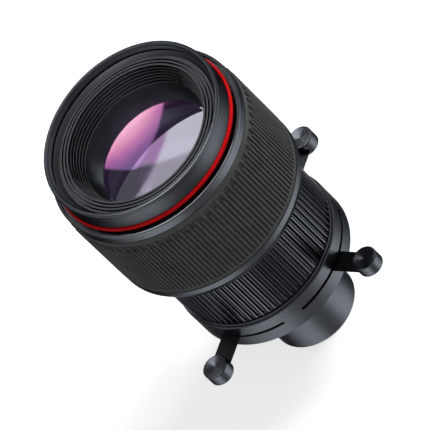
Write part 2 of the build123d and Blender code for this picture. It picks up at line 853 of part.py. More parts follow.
def baffle_ring():
    """Front baffle with a dished face, round grooves and steps, and a cone that runs down to the lens."""
    outer = baffle_seat_radius
    body_rear = cell_front + free_gap
    land = thread_floor - baffle_land_drop
    low = front_seat_height + front_lens_rim + seat_gap
    outline = [
        (front_lens_mouth, low),
        (baffle_bore_radius + baffle_tube_wall, low),
        (baffle_bore_radius + baffle_tube_wall, body_rear),
        (cell_flange_radius, body_rear),
        (cell_flange_radius, baffle_seat_height),
        (outer, baffle_seat_height),
        (outer, thread_floor),
        (baffle_dish_radius, thread_floor - baffle_dish_depth),
    ]
    radius = baffle_dish_radius
    for index in range(baffle_groove_count):
        width = baffle_groove_width if index else baffle_first_groove_width
        floor = land - baffle_groove_depth if index else thread_floor - baffle_dish_depth
        outline += [(radius, floor), (radius - width, floor), (radius - width, land)]
        radius -= width + baffle_land_width
        outline.append((radius, land))
    run = (radius - baffle_bore_radius) / baffle_step_count
    height = land
    for _ in range(baffle_step_count):
        height -= baffle_step_depth
        outline += [(radius, height), (radius - run, height)]
        radius -= run
    return turned(*[p for i, p in enumerate(outline) if i == 0 or p != outline[i - 1]])


def front_lens():
    """Large front lens with a hollow front face inside a flat land, clamped there by the baffle ring."""
    radius = sleeve_bore - seat_gap
    low = front_seat_height
    high = low + front_lens_rim
    mouth = front_lens_mouth
    rear = ThreePointArc(*[(r, 0, low - cap(radius, front_lens_rear_bulge, r)) for r in (0, radius / 2, radius)])
    side = Polyline((radius, 0, low), (radius, 0, high), (mouth, 0, high))
    front = ThreePointArc(*[(r, 0, high - cap(mouth, front_lens_hollow, r)) for r in (mouth, mouth / 2, 0)])
    axis = Line((0, 0, high - front_lens_hollow), (0, 0, low - front_lens_rear_bulge))
    return revolve(make_face([rear, side, front, axis]), Axis.Z)


def inner_lens():
    """Second lens, loaded from behind against the stop."""
    radius = inner_lens_bore - seat_gap
    return lens(radius, inner_ring_front, inner_seat_height, inner_lens_rear_bulge, inner_lens_front_bulge)


def inner_lens_ring():
    """Threaded ring behind the second lens."""
    outer = inner_lens_bore - seat_gap
    inner = inner_stop_radius
    low = inner_ring_front - inner_ring_height
    inner_high = inner_ring_front - cap(outer, inner_lens_rear_bulge, inner) - seat_gap
    body = turned((inner, low), (outer, low), (outer, inner_ring_front), (inner, inner_high))
    for notch in spanner_notches(outer, inner, low - EXTRA, low + spanner_notch_depth):
        body -= notch
    return body


parts = {
    "rear_tube": rear_tube(),
    "field_lens": field_lens(),
    "field_lens_ring": field_lens_ring(),
    "shutter_housing": shutter_housing(),
    "rear_gate_plate": rear_gate_plate(),
    "front_gate_plate": front_gate_plate(),
    "gate_posts": gate_posts(),
    "gate_screws": gate_screws(),
    "main_barrel": main_barrel(),
    "divider_ring": divider_ring(),
    "retaining_ring": retaining_ring(),
    "guide_keys": guide_keys(),
    "zoom_ring": zoom_ring(),
    "cam_sleeve": cam_sleeve(),
    "follower_pins": follower_pins(),
    "zoom_cell": zoom_cell(),
    "zoom_lens": zoom_lens(),
    "zoom_lens_ring": zoom_lens_ring(),
    "focus_ring": focus_ring(),
    "rubber_grip": rubber_grip(),
    "front_barrel": front_barrel(),
    "lens_cell": lens_cell(),
    "red_ring": red_ring(),
    "baffle_ring": baffle_ring(),
    "front_lens": front_lens(),
    "inner_lens": inner_lens(),
    "inner_lens_ring": inner_lens_ring(),
}
for index in range(shutter_count):
    parts[f"shutter_shoe_{index + 1}"] = shutter_shoe(index)
    parts[f"shutter_blade_{index + 1}"] = shutter_blade(index)
    parts[f"shutter_knob_{index + 1}"] = shutter_knob(index)
    parts[f"knob_screw_{index + 1}"] = knob_screw(index)

for name, solid in parts.items():
    export_step(solid, f"parts/{name}.step")
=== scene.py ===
"""Looks of the beam shaping lens: finishes, glass, rubber, thread and studio round the solids.

Every size is in metres and in the model's own frame. The optical axis is Z, the rear face of the
spigot is at zero and the front opening looks along +Z.
"""

import logging
import math
from collections.abc import Callable, Iterable, Sequence
from dataclasses import dataclass, field, replace
from enum import Enum

import bpy
from mathutils import Matrix, Vector


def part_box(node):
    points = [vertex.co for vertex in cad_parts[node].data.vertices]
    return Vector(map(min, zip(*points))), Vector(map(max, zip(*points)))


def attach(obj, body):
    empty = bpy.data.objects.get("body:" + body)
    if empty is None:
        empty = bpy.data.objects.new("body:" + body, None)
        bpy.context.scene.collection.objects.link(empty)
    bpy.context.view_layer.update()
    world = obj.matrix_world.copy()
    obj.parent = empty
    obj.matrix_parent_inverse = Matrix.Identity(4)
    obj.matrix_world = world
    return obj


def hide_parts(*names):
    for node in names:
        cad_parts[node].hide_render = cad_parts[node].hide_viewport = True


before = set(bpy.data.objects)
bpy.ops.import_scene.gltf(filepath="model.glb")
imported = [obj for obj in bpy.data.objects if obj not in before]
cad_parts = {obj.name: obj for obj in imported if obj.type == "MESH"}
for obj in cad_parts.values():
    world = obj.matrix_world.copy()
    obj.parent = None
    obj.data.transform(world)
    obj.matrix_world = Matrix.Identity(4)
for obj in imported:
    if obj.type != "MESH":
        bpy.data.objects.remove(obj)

LOG = logging.getLogger("beam_shaping_lens")
MM = 0.001
TURN = 2.0 * math.pi
SHARP_ANGLE = math.radians(32.0)
NOISE_MIDDLE = (0.3, 0.7)
WHITE = (1.0, 1.0, 1.0)

Colour = tuple[float, float, float]
Place = tuple[float, float, float]
Point = tuple[float, float]
Corner = tuple[float, float, float]  # radius, height and rounding
Span = tuple[float, float, int]  # first height, last height and number of rows
Socket = bpy.types.NodeSocket


class Slot(Enum):
    """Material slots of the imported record."""

    ANODISED = "black_anodised"
    RUBBER = "rubber"
    ENAMEL = "red_ring"
    GLASS = "coated_glass"
    BRASS = "blackened_brass"
    STEEL = "blackened_steel"


class Body(Enum):
    """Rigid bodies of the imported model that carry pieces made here."""

    ZOOM_RING = "zoom_ring_body"
    ZOOM_CELL = "zoom_cell_body"
    FOCUS_RING = "focus_ring_body"
    FRONT = "front_barrel_body"


class Lay(Enum):
    """Direction of the fine tool marks on a metal surface."""

    TURNED = "turned"
    BLASTED = "blasted"


class Graph:
    """Small helper that adds and joins shader nodes."""

    def __init__(self, tree: bpy.types.NodeTree) -> None:
        """Empties a node tree and keeps it.

        Args:
            tree: The node tree of a material or a world.
        """
        self.tree = tree
        self.tree.nodes.clear()

    def add(self, kind: str, **inputs: object) -> bpy.types.Node:
        """Adds one node and sets or links its inputs.

        Args:
            kind: The node's type name without the ShaderNode prefix.
            **inputs: Input names, with spaces as underscores, and their values or source sockets.

        Returns:
            The new node.
        """
        node = self.tree.nodes.new("ShaderNode" + kind)
        for name, value in inputs.items():
            self.feed(node.inputs[name.replace("_", " ")], value)
        return node

    def feed(self, socket: Socket, value: object) -> None:
        """Links a socket to another one, or sets its value.

        Args:
            socket: The input socket.
            value: An output socket or a plain value.
        """
        if isinstance(value, Socket):
            self.tree.links.new(value, socket)
        else:
            socket.default_value = value

    def maths(self, operation: str, *values: object) -> Socket:
        """Adds a Math node.

        Args:
            operation: The node's operation.
            *values: Its values or source sockets, in order.

        Returns:
            The result's socket.
        """
        node = self.add("Math")
        node.operation = operation
        for socket, value in zip(node.inputs, values):
            self.feed(socket, value)
        return node.outputs[0]

    def fit(
        self,
        value: object,
        source: tuple[object, object],
        target: tuple[object, object] = (0.0, 1.0),
        soft: bool = False,
    ) -> Socket:
        """Maps a range onto another one, and holds the ends beyond it.

        Args:
            value: The value or socket to map.
            source: Start and end of the value's own range.
            target: What the start and the end become.
            soft: Whether the change starts and ends gently.

        Returns:
            The result's socket.
        """
        node = self.add(
            "MapRange",
            Value=value,
            From_Min=source[0],
            From_Max=source[1],
            To_Min=target[0],
            To_Max=target[1],
        )
        if soft:
            node.interpolation_type = "SMOOTHSTEP"
        return node.outputs["Result"]

    def noise(self, place: Socket, size: float, detail: float = 3.0) -> Socket:
        """Adds a noise texture whose features have a real size.

        Args:
            place: The coordinates in metres.
            size: The size of one feature in metres.
            detail: The number of finer octaves.

        Returns:
            The socket of the noise value.
        """
        return self.add("TexNoise", Vector=place, Scale=1.0 / size, Detail=detail).outputs["Fac"]

    def spread(self, noise: Socket, low: float = 0.0, high: float = 1.0) -> Socket:
        """Maps the middle of a noise value onto a range.

        Args:
            noise: The socket of the noise value.
            low: The result for a low value.
            high: The result for a high value.

        Returns:
            The result's socket.
        """
        return self.fit(noise, NOISE_MIDDLE, (low, high))

    def from_axis(self, place: Socket) -> tuple[Socket, Socket]:
        """Splits coordinates into the distance from the Z axis and the height along it.

        Args:
            place: The coordinates in metres.

        Returns:
            The sockets of the distance and of the height.
        """
        parts = self.add("SeparateXYZ", Vector=place)
        squares = [
            self.maths("MULTIPLY", parts.outputs[axis], parts.outputs[axis]) for axis in ("X", "Y")
        ]
        return self.maths("SQRT", self.maths("ADD", *squares)), parts.outputs["Z"]

    def painted_groove_shade(self, colour: Socket, place: Socket, groove: Point, share: float) -> Socket:
        """Paints shade into a colour: darkens it towards the floor of grooves round the optical
        axis.

        Args:
            colour: The colour to darken.
            place: The coordinates in metres.
            groove: Radius of the grooves' floor and of the crests between them.
            share: The part of the colour that is left on the floor, under the painted shade.

        Returns:
            The colour's socket.
        """
        radius, _ = self.from_axis(place)
        scaled = self.add("VectorMath")
        scaled.operation = "SCALE"
        self.feed(scaled.inputs[0], colour)
        self.feed(scaled.inputs["Scale"], self.fit(radius, groove, (share, 1.0)))
        return scaled.outputs["Vector"]

    def ramp(self, value: Socket, stops: Sequence[tuple[float, Colour]]) -> Socket:
        """Maps a value onto a row of colours.

        Args:
            value: The socket to map.
            stops: Value and colour of each stop, from the lowest.

        Returns:
            The colour's socket.
        """
        node = self.add("ValToRGB", Fac=value)
        elements = node.color_ramp.elements
        while len(elements) < len(stops):
            elements.new(1.0)
        for element, (position, colour) in zip(elements, stops):
            element.position = position
            element.color = (*colour, 1.0)
        return node.outputs["Color"]

    def blend(self, factor: object, first: Colour, second: Colour) -> Socket:
        """Mixes two colours.

        Args:
            factor: The share of the second colour.
            first: The first colour.
            second: The second colour.

        Returns:
            The colour's socket.
        """
        node = self.tree.nodes.new("ShaderNodeMix")
        node.data_type = "RGBA"
        self.feed(node.inputs["Factor"], factor)
        self.feed(node.inputs["A"], (*first, 1.0))
        self.feed(node.inputs["B"], (*second, 1.0))
        return node.outputs["Result"]

    def join(self, kind: str, first: Socket, second: Socket, **inputs: object) -> Socket:
        """Joins two shaders.

        Args:
            kind: The node's type name without the ShaderNode prefix.
            first: The first shader.
            second: The second shader.
            **inputs: The node's other inputs.

        Returns:
            The shader's socket.
        """
        node = self.add(kind, **inputs)
        for socket, shader in zip(node.inputs[-2:], (first, second)):
            self.feed(socket, shader)
        return node.outputs["Shader"]


@dataclass(frozen=True)
class Finish:
    """A surface finish that becomes one material."""

    name: str
    slot: Slot

    def material(self) -> bpy.types.Material:
        """Makes the finish's material, once.

        Returns:
            The material.
        """
        found = bpy.data.materials.get(self.name)
        if found:
            return found
        made = bpy.data.materials.new(self.name)
        made.use_nodes = True
        graph = Graph(made.node_tree)
        graph.add("OutputMaterial", Surface=self.shade(graph))
        return made

    def shade(self, graph: Graph) -> Socket:
        """Builds the surface shader. Each kind of finish has its own.

        Args:
            graph: The material's node helper.

        Returns:
            The shader's socket.
        """
        raise NotImplementedError

    def put_on(self, piece: bpy.types.Object) -> None:
        """Dresses a whole piece in this finish.

        Args:
            piece: The mesh object.
        """
        piece.data.materials.clear()
        piece.data.materials.append(self.material())

    def put_on_faces(
        self, piece: bpy.types.Object, chosen: Callable[[bpy.types.MeshPolygon], bool]
    ) -> None:
        """Dresses some faces of a piece that already has another finish of the same slot.

        Args:
            piece: The mesh object.
            chosen: Says whether a face gets this finish.
        """
        piece.data.materials.append(self.material())
        for polygon in piece.data.polygons:
            polygon.material_index = int(chosen(polygon))


@dataclass(frozen=True)
class MetalFinish(Finish):
    """Anodised or blackened metal with fine tool marks, and painted shade on the floor of its
    grooves where these are given.
    """

    tone: Colour = (0.150, 0.165, 0.186)
    worn_tone: Colour = (0.172, 0.188, 0.210)
    edge_tint: float = 0.18
    gloss: Point = (0.24, 0.32)
    lay: Lay = Lay.BLASTED
    mark_pitch: float = 0.22 * MM
    mark_depth: float = 0.05
    grain: float = 0.09 * MM
    grain_depth: float = 0.06
    bump_height: float = 0.1 * MM
    cloud: float = 9.0 * MM
    centre: Place = (0.0, 0.0, 0.0)
    # Radius of the grooves' floor and crests, and the colour left on the floor: painted shade.
    groove: Point | None = None
    groove_shade_share: float = 0.25

    def shade(self, graph: Graph) -> Socket:
        """Builds dark metal with clouded gloss, bumps from its tool marks and, where grooves are
        given, painted shade on their floor.

        Args:
            graph: The material's node helper.

        Returns:
            The shader's socket.
        """
        place = graph.add("TexCoord").outputs["Object"]
        shift = tuple(-value for value in self.centre)
        place = graph.add("Mapping", Vector=place, Location=shift).outputs["Vector"]
        grain = graph.noise(place, self.grain, detail=2.0)
        height = graph.maths("MULTIPLY", grain, self.grain_depth)
        if self.lay is Lay.TURNED:
            height = graph.maths("ADD", height, self.rings(graph, place))
        bump = graph.add("Bump", Height=height, Strength=1.0, Distance=self.bump_height)
        cloud = graph.spread(graph.noise(place, self.cloud))
        colour = graph.blend(cloud, self.tone, self.worn_tone)
        # Painted shade: the colour darkens towards the grooves' floor.
        if self.groove:
            colour = graph.painted_groove_shade(colour, place, self.groove, self.groove_shade_share)
        shader = graph.add(
            "BsdfPrincipled",
            Base_Color=colour,
            Metallic=1.0,
            Specular_Tint=(self.edge_tint, self.edge_tint, self.edge_tint, 1.0),
            Roughness=graph.spread(grain, *self.gloss),
            Normal=bump.outputs["Normal"],
        )
        return shader.outputs["BSDF"]

    def rings(self, graph: Graph, place: Socket) -> Socket:
        """Fine rings round the axis, as a lathe tool leaves them.

        Args:
            graph: The material's node helper.
            place: The coordinates about the turning axis.

        Returns:
            The socket of the marks' height.
        """
        along = graph.maths("ADD", *graph.from_axis(place))
        wave = graph.maths("SINE", graph.maths("MULTIPLY", along, TURN / self.mark_pitch))
        return graph.maths("MULTIPLY", wave, self.mark_depth)


@dataclass(frozen=True)
class RubberFinish(Finish):
    """Matt moulded rubber with a fine grain, a little dust and painted shade between its ribs."""

    tone: Colour = (0.072, 0.072, 0.074)
    dusty: Colour = (0.096, 0.096, 0.098)
    gloss: Point = (0.62, 0.78)
    shine: float = 0.06
    grain: float = 0.12 * MM
    grain_strength: float = 0.35
    grain_height: float = 0.05 * MM
    cloud: float = 7.2 * MM
    # Radius of the floor and crests of the ribs, and the colour left on the floor: painted shade.
    groove: Point = (43.2 * MM, 43.9 * MM)
    groove_shade_share: float = 0.75

    def shade(self, graph: Graph) -> Socket:
        """Builds matt rubber with grain, clouds of dust and painted shade between the ribs.

        Args:
            graph: The material's node helper.

        Returns:
            The shader's socket.
        """
        place = graph.add("TexCoord").outputs["Object"]
        grain = graph.noise(place, self.grain, detail=2.0)
        dust = graph.noise(place, self.cloud, detail=5.0)
        bump = graph.add(
            "Bump", Height=grain, Strength=self.grain_strength, Distance=self.grain_height
        )
        colour = graph.blend(graph.spread(dust), self.tone, self.dusty)
        # The base colour gets painted shade towards the floor between the ribs.
        shader = graph.add(
            "BsdfPrincipled",
            Base_Color=graph.painted_groove_shade(colour, place, self.groove, self.groove_shade_share),
            Roughness=graph.spread(dust, *self.gloss),
            Specular_IOR_Level=self.shine,
            Normal=bump.outputs["Normal"],
        )
        return shader.outputs["BSDF"]


@dataclass(frozen=True)
class EnamelFinish(Finish):
    """Satin enamel on a turned ring."""

    tone: Colour = (0.62, 0.006, 0.008)
    deep_tone: Colour = (0.50, 0.004, 0.006)
    gloss: Point = (0.42, 0.50)
    shine: float = 0.05
    coat: float = 0.02
    coat_gloss: float = 0.2
    cloud: float = 4.0 * MM
    flow_strength: float = 0.2
    flow_height: float = 0.02 * MM

    def shade(self, graph: Graph) -> Socket:
        """Builds enamel with a faint flow pattern under a clear coat.

        Args:
            graph: The material's node helper.

        Returns:
            The shader's socket.
        """
        place = graph.add("TexCoord").outputs["Object"]
        flow = graph.noise(place, self.cloud)
        bump = graph.add(
            "Bump", Height=flow, Strength=self.flow_strength, Distance=self.flow_height
        )
        shader = graph.add(
            "BsdfPrincipled",
            Base_Color=graph.blend(graph.spread(flow), self.tone, self.deep_tone),
            Roughness=graph.spread(flow, *self.gloss),
            Specular_IOR_Level=self.shine,
            Coat_Weight=self.coat,
            Coat_Roughness=self.coat_gloss,
            Normal=bump.outputs["Normal"],
        )
        return shader.outputs["BSDF"]


@dataclass(frozen=True)
class GlassFinish(Finish):
    """Polished optical glass under an anti-reflection coating whose tint shifts with the angle."""

    coating: tuple[tuple[float, Colour], ...]
    strength: float = 0.22
    body: Colour = (0.97, 0.97, 0.99)
    index: float = 1.3
    cloud: float = 12.0 * MM
    uneven: float = 0.004

    def shade(self, graph: Graph) -> Socket:
        """Builds clear glass whose coating mirrors a share of the light in its own tint.

        Args:
            graph: The material's node helper.

        Returns:
            The shader's socket.
        """
        place = graph.add("TexCoord").outputs["Object"]
        cloud = graph.spread(graph.noise(place, self.cloud), -self.uneven, self.uneven)
        facing = graph.add("LayerWeight", Blend=0.5).outputs["Facing"]
        tint = graph.ramp(graph.maths("ADD", facing, cloud), self.coating)
        glass = graph.add("BsdfGlass", Color=(*self.body, 1.0), Roughness=0.0, IOR=self.index)
        mirror = graph.add("BsdfAnisotropic", Color=tint, Roughness=0.0)
        return graph.join(
            "MixShader", glass.outputs["BSDF"], mirror.outputs["BSDF"], Fac=self.strength
        )


SATIN = MetalFinish("black_anodised_satin", Slot.ANODISED)
TURNED = MetalFinish("black_anodised_turned", Slot.ANODISED, lay=Lay.TURNED)
# The ribbed ring gets painted shade on the floor of its grooves.
RIBBED = MetalFinish("black_anodised_ribbed", Slot.ANODISED, groove=(35.5 * MM, 36.2 * MM))
KNOB = MetalFinish(
    "turned_knob", Slot.ANODISED, gloss=(0.17, 0.22), lay=Lay.TURNED, mark_depth=0.06
)
FRONT = MetalFinish(
    "black_anodised_front",
    Slot.ANODISED,
    tone=(0.112, 0.122, 0.138),
    worn_tone=(0.128, 0.139, 0.156),
    lay=Lay.TURNED,
)
BAFFLE = MetalFinish(
    "baffle_black",
    Slot.ANODISED,
    tone=(0.095, 0.100, 0.108),
    worn_tone=(0.110, 0.115, 0.123),
    gloss=(0.34, 0.42),
)
TUBE_WALL = MetalFinish(
    "baffle_tube_wall",
    Slot.ANODISED,
    tone=(0.17, 0.20, 0.185),
    worn_tone=(0.19, 0.22, 0.205),
    gloss=(0.36, 0.44),
)
INNER = MetalFinish(
    "inner_black",
    Slot.ANODISED,
    tone=(0.20, 0.17, 0.26),
    worn_tone=(0.24, 0.21, 0.30),
    gloss=(0.4, 0.5),
)
BRASS = MetalFinish(
    "blackened_brass_parts", Slot.BRASS, tone=(0.09, 0.075, 0.05), worn_tone=(0.16, 0.13, 0.08)
)
STEEL = MetalFinish(
    "blackened_steel_sheet",
    Slot.STEEL,
    tone=(0.055, 0.056, 0.060),
    worn_tone=(0.07, 0.071, 0.075),
    gloss=(0.30, 0.38),
)
RUBBER = RubberFinish("moulded_rubber", Slot.RUBBER)
ENAMEL = EnamelFinish("red_enamel", Slot.ENAMEL)
FRONT_GLASS = GlassFinish(
    "front_coated_glass",
    Slot.GLASS,
    coating=(
        (0.125, (0.94, 0.47, 0.63)),
        (0.150, (0.72, 0.25, 0.45)),
        (0.170, (0.45, 0.10, 0.34)),
        (0.190, (0.25, 0.045, 0.26)),
        (0.215, (0.12, 0.03, 0.20)),
        (0.300, (0.12, 0.06, 0.22)),
    ),
)
BACK_GLASS = GlassFinish(
    "back_coated_glass",
    Slot.GLASS,
    coating=((0.1, (0.90, 0.92, 1.0)), (0.5, (0.93, 0.94, 1.0))),
    strength=0.45,
)
INNER_GLASS = GlassFinish(
    "inner_coated_glass",
    Slot.GLASS,
    coating=((0.1, (1.0, 0.90, 0.97)), (0.5, (0.95, 0.90, 1.0))),
    strength=0.7,
)
REAR_GLASS = GlassFinish(
    "rear_coated_glass", Slot.GLASS, coating=((0.1, (0.76, 0.62, 0.95)), (0.4, (0.62, 0.58, 0.95)))
)


def mesh_piece(
    name: str, points: Sequence[Vector], faces: Sequence[Sequence[int]], body: Body
) -> bpy.types.Object:
    """Makes a smooth mesh object that rides on a body.

    Args:
        name: The piece's name.
        points: The vertices in the model's frame.
        faces: The faces as vertex indices.
        body: The body that carries the piece.

    Returns:
        The new object.
    """
    mesh = bpy.data.meshes.new(name)
    mesh.from_pydata([tuple(p) for p in points], [], [tuple(f) for f in faces])
    mesh.validate()
    mesh.shade_smooth()
    mesh.set_sharp_from_angle(angle=SHARP_ANGLE)
    piece = bpy.data.objects.new(name, mesh)
    bpy.context.scene.collection.objects.link(piece)
    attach(piece, body.value)
    return piece


def around(radius: float, angle: float, height: float) -> Vector:
    """Returns the point at a radius, an angle and a height about the optical axis."""
    return Vector((radius * math.cos(angle), radius * math.sin(angle), height))


def ring_faces(loops: int, count: int) -> list[tuple[int, ...]]:
    """Joins closed loops of points into a ring round the axis.

    Args:
        loops: The number of loops.
        count: The number of points in each loop.

    Returns:
        The faces as vertex indices.
    """
    faces: list[tuple[int, ...]] = []
    for loop in range(loops):
        here, there = loop * count, (loop + 1) % loops * count
        for i in range(count):
            after = (i + 1) % count
            faces.append((here + i, there + i, there + after, here + after))
    return faces


def rounded(corners: Sequence[Corner], steps: int = 4) -> list[Point]:
    """Rounds the corners of a closed outline.

    Args:
        corners: Radius, height and rounding of each corner.
        steps: Segments in each rounding.

    Returns:
        The outline's points.
    """
    longest = 0.45
    outline: list[Point] = []
    for i, (r, z, rounding) in enumerate(corners):
        here = Vector((r, z))
        before = Vector(corners[i - 1][:2]) - here
        after = Vector(corners[(i + 1) % len(corners)][:2]) - here
        if rounding <= 0.0 or before.length == 0.0 or after.length == 0.0:
            outline.append((r, z))
            continue
        reach = rounding / math.tan(before.angle(after) / 2.0)
        reach = min(reach, longest * before.length, longest * after.length)
        start = here + before.normalized() * reach
        end = here + after.normalized() * reach
        for k in range(steps + 1):
            t = k / steps
            spot = start * (1.0 - t) ** 2 + here * 2.0 * t * (1.0 - t) + end * t**2
            outline.append((spot.x, spot.y))
    return outline


def turned(
    name: str, outline: Sequence[Point], body: Body, segments: int = 240
) -> bpy.types.Object:
    """Turns a closed outline about the optical axis.

    Args:
        name: The piece's name.
        outline: Radius and height of each point.
        body: The body that carries the piece.
        segments: Steps round the axis.

    Returns:
        The new object.
    """
    points = [around(r, TURN * s / segments, z) for s in range(segments) for r, z in outline]
    return mesh_piece(name, points, ring_faces(segments, len(outline)), body)


def bore_radius(node: str) -> float:
    """Returns the smallest distance of a node's mesh from the optical axis."""
    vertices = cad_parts[node].data.vertices
    return min(math.hypot(v.co.x, v.co.y) for v in vertices)


def smooth_step(value: float) -> float:
    """Returns a soft step from 0 to 1 as value goes from 0 to 1."""
    clipped = min(1.0, max(0.0, value))
    return clipped * clipped * (3.0 - 2.0 * clipped)


def spaced(low: float, high: float, count: int) -> list[float]:
    """Returns evenly spaced values, ends included."""
    return [low + (high - low) * i / (count - 1) for i in range(count)]


def ridge(part: float, half_base: float, half_crest: float) -> float:
    """Height of a rib with sloping flanks and a soft crest, which repeats once a period.

    Args:
        part: Distance from a rib's middle, in periods.
        half_base: Half the rib's width at its foot.
        half_crest: Half the width of its crest.

    Returns:
        The height from 0 to 1.
    """
    away = abs((part + 0.5) % 1.0 - 0.5)
    return smooth_step((half_base - away) / (half_base - half_crest))


@dataclass
class RibbedRing:
    """A ring whose outside follows a height map: radius as a function of angle and height."""

    node: str
    piece_name: str
    body: Body
    finish: Finish
    rib_count: int
    steps_per_period: int = 20
    rear: float = field(init=False)

    def build(self) -> None:
        """Builds the ring in the place of its node and dresses it."""
        low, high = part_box(self.node)
        bore = bore_radius(self.node)
        rows = [z for span in self.spans(low.z, high.z) for z in spaced(*span)]
        count = self.rib_count * self.steps_per_period
        points: list[Vector] = []
        for s in range(count):
            angle = TURN * s / count
            points.append(around(bore, angle, low.z))
            points.extend(around(self.radius(angle, z), angle, z) for z in (low.z, *rows, high.z))
            points.append(around(bore, angle, high.z))
        piece = mesh_piece(self.piece_name, points, ring_faces(count, len(rows) + 4), self.body)
        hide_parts(self.node)
        self.finish.put_on(piece)
        LOG.info("%s: %d periods of ribs", self.piece_name, self.rib_count)

    def spans(self, low: float, high: float) -> tuple[Span, ...]:
        """Rows of points between the ends, close together at each edge of the ribs.

        Args:
            low: Height of the rear end.
            high: Height of the front end.

        Returns:
            The spans from rear to front.
        """
        raise NotImplementedError

    def radius(self, angle: float, z: float) -> float:
        """Outer radius of the ring.

        Args:
            angle: Direction about the axis in radians.
            z: Height along the axis.

        Returns:
            The radius in metres.
        """
        raise NotImplementedError


@dataclass
class RubberGrip(RibbedRing):
    """The rubber sleeve on the focus ring, with long and short ribs in turn."""

    node: str = "rubber_grip"
    piece_name: str = "rubber_sleeve"
    body: Body = Body.FOCUS_RING
    finish: Finish = RUBBER
    rib_count: int = 72
    phase_deg: float = 2.25
    crest: float = 44.1 * MM
    floor: float = 43.15 * MM
    plain: float = 43.65 * MM
    rear_border: float = 1.9 * MM
    front_border: float = 2.75 * MM
    notch: float = 3.0 * MM
    edge: float = 0.35 * MM
    lip: float = 0.15 * MM
    long_half_base: float = 0.155
    short_half_base: float = 0.150
    half_crest: float = 0.085
    front: float = field(init=False)

    def __post_init__(self) -> None:
        """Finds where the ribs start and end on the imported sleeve."""
        low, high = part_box(self.node)
        self.rear = low.z + self.rear_border
        self.front = high.z - self.front_border

    def spans(self, low: float, high: float) -> tuple[Span, ...]:
        """Rows of points, close together at the ribs' ends and at the notch between short ribs.

        Args:
            low: Height of the rear end.
            high: Height of the front end.

        Returns:
            The spans from rear to front.
        """
        edge = self.edge
        notch = self.front - self.notch
        return (
            (low + self.lip, self.rear - edge, 3),
            (self.rear - 0.6 * edge, self.rear + 1.6 * edge, 7),
            (self.rear + 2.0 * MM, notch - 2.0 * edge, 6),
            (notch - edge, notch + edge, 6),
            (notch + 2.0 * edge, self.front - 1.8 * edge, 3),
            (self.front - edge, self.front + edge, 6),
            (self.front + 2.0 * edge, high - self.lip, 3),
        )

    def radius(self, angle: float, z: float) -> float:
        """Outer radius of the sleeve.

        Args:
            angle: Direction about the axis in radians.
            z: Height along the axis.

        Returns:
            The radius in metres.
        """
        part = (math.degrees(angle) - self.phase_deg) / (360.0 / self.rib_count)
        long_rib = ridge(part, self.long_half_base, self.half_crest)
        short_rib = ridge(part - 0.5, self.short_half_base, self.half_crest)
        short_rib *= smooth_step((self.front - self.notch - z) / self.edge)
        inside = smooth_step((z - self.rear) / self.edge)
        inside *= smooth_step((self.front - z) / self.edge)
        ribbed = self.floor + (self.crest - self.floor) * max(long_rib, short_rib)
        return self.plain + (ribbed - self.plain) * inside


@dataclass
class ZoomRing(RibbedRing):
    """The metal ring with a tall crest and a lower, shorter step in each period."""

    node: str = "zoom_ring"
    piece_name: str = "ribbed_zoom_ring"
    body: Body = Body.ZOOM_RING
    finish: Finish = RIBBED
    rib_count: int = 80
    crest: float = 36.5 * MM
    step: float = 36.05 * MM
    floor: float = 35.45 * MM
    collar: float = 1.2 * MM
    setback: float = 1.9 * MM
    edge: float = 0.30 * MM
    lip: float = 0.1 * MM
    crest_half_base: float = 0.20
    crest_half_top: float = 0.12
    step_offset: float = 0.48
    step_half_base: float = 0.14
    step_half_top: float = 0.08
    step_rear: float = field(init=False)

    def __post_init__(self) -> None:
        """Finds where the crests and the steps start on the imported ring."""
        low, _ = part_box(self.node)
        self.rear = low.z + self.collar
        self.step_rear = self.rear + self.setback

    def spans(self, low: float, high: float) -> tuple[Span, ...]:
        """Rows of points, close together where the crests and the steps start.

        Args:
            low: Height of the rear end.
            high: Height of the front end.

        Returns:
            The spans from rear to front.
        """
        edge = self.edge
        return (
            (low + self.lip, self.rear - edge, 2),
            (self.rear - 0.5 * edge, self.rear + 1.5 * edge, 6),
            (self.rear + 2.0 * edge, self.step_rear - edge, 3),
            (self.step_rear, self.step_rear + 1.5 * edge, 5),
            (self.step_rear + 1.0 * MM, high - self.lip, 6),
        )

    def radius(self, angle: float, z: float) -> float:
        """Outer radius of the ring.

        Args:
            angle: Direction about the axis in radians.
            z: Height along the axis.

        Returns:
            The radius in metres.
        """
        part = math.degrees(angle) / (360.0 / self.rib_count)
        tall = ridge(part, self.crest_half_base, self.crest_half_top)
        tall *= smooth_step((z - self.rear) / self.edge)
        lower = ridge(part - self.step_offset, self.step_half_base, self.step_half_top)
        lower *= smooth_step((z - self.step_rear) / self.edge)
        return self.floor + max((self.crest - self.floor) * tall, (self.step - self.floor) * lower)


@dataclass
class FilterThread:
    """The fine thread inside the lip, as a helical ridge."""

    pitch: float = 0.75 * MM
    half_width: float = 0.315 * MM
    depth: float = 0.28 * MM
    root: float = 0.02 * MM
    wall: float = 38.3 * MM
    start: float = 143.65 * MM
    turns: float = 2.9
    steps_per_turn: int = 180
    fade_steps: int = 20

    def build(self) -> None:
        """Winds the ridge round the wall and dresses it."""
        points: list[Vector] = []
        count = int(self.turns * self.steps_per_turn)
        for s in range(count + 1):
            angle = TURN * s / self.steps_per_turn
            z = self.start + self.pitch * s / self.steps_per_turn
            fade = min(1.0, s / self.fade_steps, (count - s) / self.fade_steps)
            points += [
                around(self.wall + self.root, angle, z - self.half_width),
                around(self.wall - self.depth * fade, angle, z),
                around(self.wall + self.root, angle, z + self.half_width),
            ]
        faces = [
            (3 * s + i, 3 * s + (i + 1) % 3, 3 * s + 3 + (i + 1) % 3, 3 * s + 3 + i)
            for s in range(count)
            for i in range(3)
        ]
        faces += [(0, 2, 1), (3 * count, 3 * count + 1, 3 * count + 2)]
        piece = mesh_piece("filter_thread", points, faces, Body.FRONT)
        SATIN.put_on(piece)
        LOG.info("filter thread: %.1f turns", self.turns)


